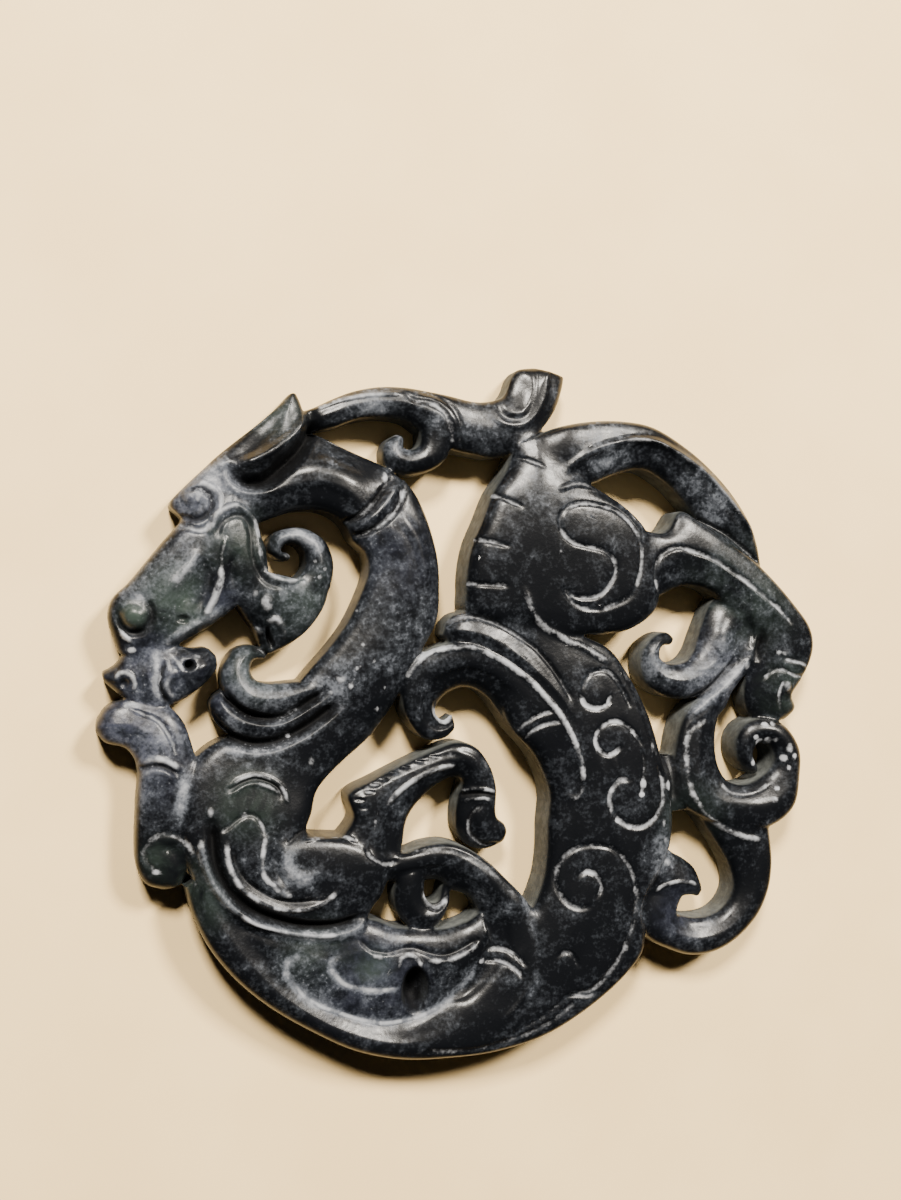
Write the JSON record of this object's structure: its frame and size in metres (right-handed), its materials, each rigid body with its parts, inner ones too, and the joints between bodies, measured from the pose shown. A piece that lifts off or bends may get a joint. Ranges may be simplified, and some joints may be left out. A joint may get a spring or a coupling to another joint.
{
  "type": "jade amulet",
  "caption": "Openwork disc pendant carved as a coiled dragon from one piece of dark stone, with a relief front and a flat back, pierced so that a cord can pass through.",
  "frame": {"origin": "middle of the disc's outline, on the flat back", "axes": "+Z out of the carved front, +Y up to the dragon's crest, +X to the right seen from the front, away from the dragon's face"},
  "size_m": [0.058, 0.0538, 0.0052],
  "materials": {
    "dark_jade": "polished"
  },
  "bodies": {
    "root": {"dragon_disc": "dark_jade"}
  },
  "joints": []
}
